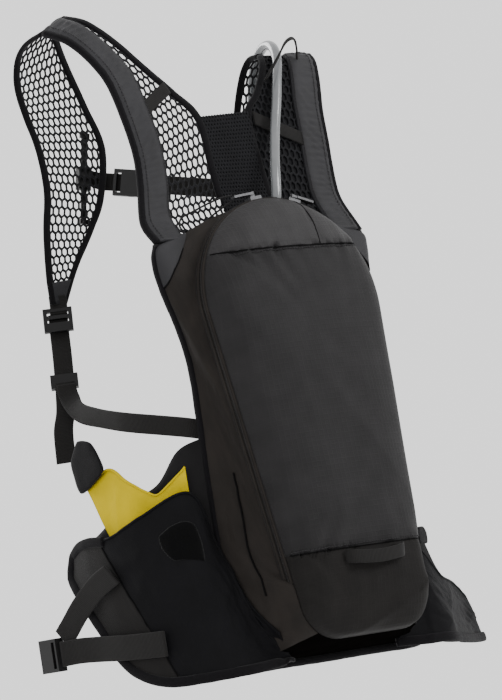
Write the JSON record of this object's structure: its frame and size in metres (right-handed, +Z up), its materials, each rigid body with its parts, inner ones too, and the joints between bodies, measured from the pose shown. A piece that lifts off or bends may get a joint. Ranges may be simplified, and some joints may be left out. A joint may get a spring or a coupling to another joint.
{
  "type": "hydration pack",
  "caption": "Slim zipped hydration pack with mesh shoulder harness, sternum strap, hip wings with pockets, water reservoir and drink tube.",
  "frame": {"origin": "middle of the lumbar pad's contact face, where the pack rests on the wearer's back", "axes": "+X to the wearer's right, +Y forward into the wearer, +Z up the back panel"},
  "size_m": [0.466, 0.3408, 0.6936],
  "materials": {
    "front_fabric": "coated charcoal ripstop nylon",
    "cap_fabric": "coated charcoal nylon",
    "side_fabric": "brown-black nylon",
    "mesh": "open hexagonal spacer mesh",
    "band": "dark slate padded nylon",
    "foam_pad": "mesh-covered foam",
    "webbing": "woven webbing",
    "plastic": "moulded acetal",
    "stretch": "stretch-woven pocket fabric",
    "lining": "yellow lining fabric",
    "reservoir": "translucent film",
    "tube": "translucent tube",
    "bite": "silicone",
    "slider": "dark coated metal"
  },
  "bodies": {
    "root": {"adjust_webbing_left": "webbing", "adjust_webbing_right": "webbing", "back_pads": "foam_pad", "back_panel": "side_fabric", "bite_valve": "bite", "drink_tube": "tube", "front_panel": "front_fabric", "harness_band_left": "band", "harness_band_right": "band", "harness_mesh_left": "mesh", "harness_mesh_right": "mesh", "hem_binding": "webbing", "hip_pocket_left": "stretch", "hip_pocket_right": "stretch", "hip_webbing_left": "webbing", "hip_webbing_right": "webbing", "hip_wing_left": "band", "hip_wing_right": "band", "hose_port": "plastic", "light_loop": "webbing", "lower_panel": "front_fabric", "lumbar_pad": "foam_pad", "pocket_lining_left": "lining", "pocket_lining_right": "lining", "reservoir_bag": "reservoir", "reservoir_clamp": "plastic", "reservoir_sleeve": "side_fabric", "side_panel_left": "side_fabric", "side_panel_right": "side_fabric", "sternum_rails": "plastic", "strap_front_left": "mesh", "strap_front_right": "mesh", "top_cap": "cap_fabric", "tube_keeper": "webbing", "valve_body": "plastic", "yoke_panel": "mesh", "zip_tape": "webbing"},
    "sternum": {"sternum_runners": "plastic", "sternum_webbing": "webbing", "sternum_buckle_female": "plastic"},
    "sternum_plug": {"sternum_buckle_male": "plastic"},
    "sternum_prong_up": {"sternum_prong_upper": "plastic"},
    "sternum_prong_low": {"sternum_prong_lower": "plastic"},
    "hip_plug": {"hip_buckle_male": "plastic"},
    "hip_prong_up": {"hip_prong_upper": "plastic"},
    "hip_prong_low": {"hip_prong_lower": "plastic"},
    "hip_socket": {"hip_buckle_female": "plastic"},
    "lock_left": {"ladder_lock_left": "plastic"},
    "lock_right": {"ladder_lock_right": "plastic"},
    "glide_left": {"tri_glide_left": "plastic"},
    "glide_right": {"tri_glide_right": "plastic"},
    "flap_left": {"pocket_flap_left": "stretch"},
    "flap_right": {"pocket_flap_right": "stretch"},
    "slider_left": {"zip_slider_left": "slider"},
    "slider_right": {"zip_slider_right": "slider"},
    "pull_left": {"zip_pull_left": "slider"},
    "pull_right": {"zip_pull_right": "slider"},
    "shutoff": {"shutoff_lever": "plastic"}
  },
  "joints": [
    {"name": "sternum_height", "type": "slide", "parent": "root", "child": "sternum", "axis": [0.1908, 0, 0.9816], "range_m": [-0.02, 0.02]},
    {"name": "sternum_release", "type": "slide", "parent": "sternum", "child": "sternum_plug", "axis": [0.694, -0.681, -0.2335], "range_m": [0, 0.03]},
    {"name": "sternum_prong_up_squeeze", "type": "hinge", "parent": "sternum_plug", "child": "sternum_prong_up", "pos_m": [0.00645, 0.18011, 0.46295], "axis": [-0.7004, -0.7137, 0], "range_deg": [0, 6], "stiffness_Nm_per_rad": 0.05},
    {"name": "sternum_prong_low_squeeze", "type": "hinge", "parent": "sternum_plug", "child": "sternum_prong_low", "pos_m": [0.00412, 0.18241, 0.44934], "axis": [-0.7004, -0.7137, 0], "range_deg": [-6, 0], "stiffness_Nm_per_rad": 0.05},
    {"name": "hip_release", "type": "slide", "parent": "root", "child": "hip_plug", "axis": [0.995, -0.0995, -0.0099], "range_m": [0, 0.03]},
    {"name": "hip_prong_up_squeeze", "type": "hinge", "parent": "hip_plug", "child": "hip_prong_up", "pos_m": [0.14681, 0.11522, -0.03547], "axis": [-0.0995, -0.995, 0], "range_deg": [0, 6], "stiffness_Nm_per_rad": 0.05},
    {"name": "hip_prong_low_squeeze", "type": "hinge", "parent": "hip_plug", "child": "hip_prong_low", "pos_m": [0.14662, 0.11524, -0.05447], "axis": [-0.0995, -0.995, 0], "range_deg": [-6, 0], "stiffness_Nm_per_rad": 0.05},
    {"name": "hip_socket_swing", "type": "hinge", "parent": "root", "child": "hip_socket", "pos_m": [-0.215, 0.1375, -0.018], "axis": [0, 0, 1], "range_deg": [-25, 25]},
    {"name": "lock_left_tilt", "type": "hinge", "parent": "root", "child": "lock_left", "pos_m": [-0.11941, 0.18954, 0.3311], "axis": [0.8033, -0.5947, -0.0309], "range_deg": [0, 35]},
    {"name": "glide_left_slide", "type": "slide", "parent": "root", "child": "glide_left", "axis": [0.2063, 0.2292, 0.9513], "range_m": [0, 0.03]},
    {"name": "lock_right_tilt", "type": "hinge", "parent": "root", "child": "lock_right", "pos_m": [0.12808, 0.0859, 0.234], "axis": [0.9993, 0.002, 0.0383], "range_deg": [0, 35]},
    {"name": "glide_right_slide", "type": "slide", "parent": "root", "child": "glide_right", "axis": [-0.0384, 0.0512, 0.998], "range_m": [0, 0.025]},
    {"name": "pocket_flap_left_fold", "type": "hinge", "parent": "root", "child": "flap_left", "pos_m": [-0.1765, 0.092, 0.144], "axis": [0, -1, 0], "range_deg": [0, 120]},
    {"name": "pocket_flap_right_fold", "type": "hinge", "parent": "root", "child": "flap_right", "pos_m": [0.138, -0.0205, 0.036], "axis": [0.866, 0.5, 0], "range_deg": [0, 110]},
    {"name": "zip_slider_left_run", "type": "hinge", "parent": "root", "child": "slider_left", "pos_m": [0, -0.0476, 0.295], "axis": [0, -0.9929, 0.1191], "range_deg": [0, 75]},
    {"name": "zip_pull_left_swing", "type": "hinge", "parent": "slider_left", "child": "pull_left", "pos_m": [-0.0136, -0.02746, 0.40415], "axis": [0, -0.9929, 0.1191], "range_deg": [-75, 0]},
    {"name": "zip_slider_right_run", "type": "hinge", "parent": "root", "child": "slider_right", "pos_m": [0, -0.0476, 0.295], "axis": [0, -0.9929, 0.1191], "range_deg": [-75, 0]},
    {"name": "zip_pull_right_swing", "type": "hinge", "parent": "slider_right", "child": "pull_right", "pos_m": [0.03633, -0.02808, 0.39893], "axis": [0, -0.9929, 0.1191], "range_deg": [0, 75]},
    {"name": "shutoff_turn", "type": "hinge", "parent": "root", "child": "shutoff", "pos_m": [0.118, 0.1092, 0.274], "axis": [0, 1, 0], "range_deg": [0, 90]}
  ],
  "couplings": [
    {"joint": "sternum_prong_low_squeeze", "follows": "sternum_prong_up_squeeze", "ratio": -1},
    {"joint": "hip_prong_low_squeeze", "follows": "hip_prong_up_squeeze", "ratio": -1}
  ]
}
